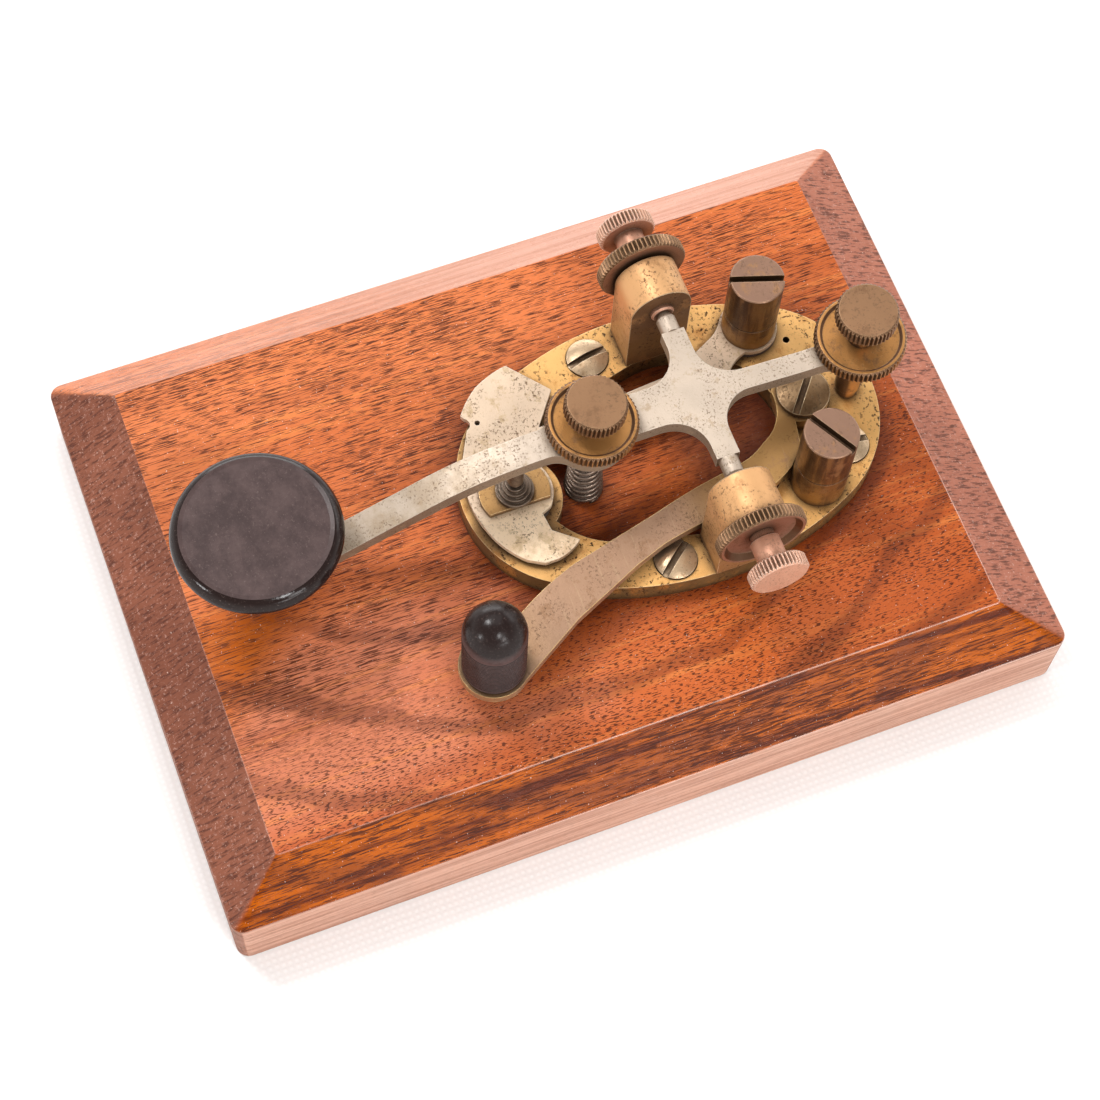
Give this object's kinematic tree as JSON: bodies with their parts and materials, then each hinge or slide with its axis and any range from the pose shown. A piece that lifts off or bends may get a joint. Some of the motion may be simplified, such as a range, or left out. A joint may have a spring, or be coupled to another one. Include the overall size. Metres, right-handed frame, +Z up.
{
  "type": "telegraph key",
  "caption": "Straight telegraph key: sprung camelback lever with a flat knob, screw trunnions, wire posts and a circuit closer on an oval brass frame and bevelled wooden board.",
  "frame": {"origin": "centre of the board's underside", "axes": "+Z up; -Y towards the operator, where the knob is; +Y towards the wire terminals; +X the circuit closer's side, along the lever's axle"},
  "size_m": [0.113, 0.16, 0.057],
  "materials": {
    "wood": "worn semi-gloss varnish",
    "frame_brass": "tarnished, polished top",
    "trunnion_brass": "tarnished",
    "post_bronze": "dark aged brass",
    "nut_bronze": "aged brass, knurled rim",
    "thumb_copper": "reddish aged brass, knurled",
    "lever_nickel": "worn nickel plate with brown specks",
    "plate_silver": "worn nickel plate",
    "closer_brass": "brown tarnish",
    "screw_bronze": "aged brass",
    "washer_brass": "satin",
    "contact_steel": "satin",
    "knob_black": "moulded, semi-gloss",
    "insulator": "dull black fibre",
    "spring_steel": "drawn wire"
  },
  "bodies": {
    "base": {"wooden_base": "wood", "key_frame": "frame_brass", "frame_screws": "screw_bronze", "trunnion_left": "trunnion_brass", "trunnion_right": "trunnion_brass", "contact_insulator": "insulator", "contact_plate": "plate_silver", "anvil_washer": "washer_brass", "anvil_contact": "contact_steel", "anvil_bushing": "insulator", "terminal_insulator": "insulator", "terminal_base_left": "post_bronze", "terminal_base_right": "post_bronze", "closer_pivot_washer": "washer_brass", "closer_pivot_screw": "screw_bronze", "tension_spring": "spring_steel"},
    "lever": {"lever": "lever_nickel", "hammer_contact": "contact_steel", "knob": "knob_black", "knob_screw": "screw_bronze"},
    "closer": {"closer_arm": "closer_brass", "closer_knob": "knob_black", "closer_knob_stud": "screw_bronze"},
    "tension_screw_body": {"tension_screw": "nut_bronze"},
    "tension_locknut_body": {"tension_locknut": "nut_bronze"},
    "gap_screw_body": {"gap_screw": "nut_bronze"},
    "gap_locknut_body": {"gap_locknut": "nut_bronze"},
    "pivot_screw_left_body": {"pivot_screw_left": "thumb_copper"},
    "pivot_screw_right_body": {"pivot_screw_right": "thumb_copper"},
    "pivot_locknut_left_body": {"pivot_locknut_left": "nut_bronze"},
    "pivot_locknut_right_body": {"pivot_locknut_right": "nut_bronze"},
    "terminal_cap_left_body": {"terminal_cap_left": "post_bronze"},
    "terminal_cap_right_body": {"terminal_cap_right": "post_bronze"}
  },
  "joints": [
    {"name": "lever_pivot", "type": "hinge", "parent": "base", "child": "lever", "pos_m": [0, 0.0272, 0.0445], "axis": [1, 0, 0], "range_deg": [0, 1.25], "stiffness_Nm_per_rad": 0.43, "springref_deg": -5.73, "deforming": ["tension_spring"]},
    {"name": "closer_swing", "type": "hinge", "parent": "base", "child": "closer", "pos_m": [0, 0.0488, 0.0301], "axis": [0, 0, 1], "range_deg": [-8.5, 0]},
    {"name": "tension_screw_turn", "type": "hinge", "parent": "lever", "child": "tension_screw_body", "pos_m": [0, 0.0064, 0.046], "axis": [0, 0.0698, 0.9976], "range_deg": [-270, 270]},
    {"name": "tension_locknut_turn", "type": "hinge", "parent": "lever", "child": "tension_locknut_body", "pos_m": [0, 0.0064, 0.046], "axis": [0, 0.0698, 0.9976], "range_deg": [-270, 270]},
    {"name": "gap_screw_turn", "type": "hinge", "parent": "lever", "child": "gap_screw_body", "pos_m": [0, 0.058, 0.045], "axis": [0, 0, 1], "range_deg": [-270, 270]},
    {"name": "gap_locknut_turn", "type": "hinge", "parent": "lever", "child": "gap_locknut_body", "pos_m": [0, 0.058, 0.045], "axis": [0, 0, 1], "range_deg": [-270, 270]},
    {"name": "pivot_screw_left_turn", "type": "hinge", "parent": "base", "child": "pivot_screw_left_body", "pos_m": [-0.026, 0.0272, 0.0445], "axis": [-1, 0, 0], "range_deg": [-270, 270]},
    {"name": "pivot_locknut_left_turn", "type": "hinge", "parent": "base", "child": "pivot_locknut_left_body", "pos_m": [-0.028, 0.0272, 0.0445], "axis": [-1, 0, 0], "range_deg": [-270, 270]},
    {"name": "pivot_screw_right_turn", "type": "hinge", "parent": "base", "child": "pivot_screw_right_body", "pos_m": [0.026, 0.0272, 0.0445], "axis": [1, 0, 0], "range_deg": [-270, 270]},
    {"name": "pivot_locknut_right_turn", "type": "hinge", "parent": "base", "child": "pivot_locknut_right_body", "pos_m": [0.028, 0.0272, 0.0445], "axis": [1, 0, 0], "range_deg": [-270, 270]},
    {"name": "terminal_cap_left_turn", "type": "hinge", "parent": "base", "child": "terminal_cap_left_body", "pos_m": [-0.0175, 0.0454, 0.036], "axis": [0, 0, 1], "range_deg": [0, 270]},
    {"name": "terminal_cap_right_turn", "type": "hinge", "parent": "base", "child": "terminal_cap_right_body", "pos_m": [0.0157, 0.0457, 0.036], "axis": [0, 0, 1], "range_deg": [0, 270]}
  ]
}
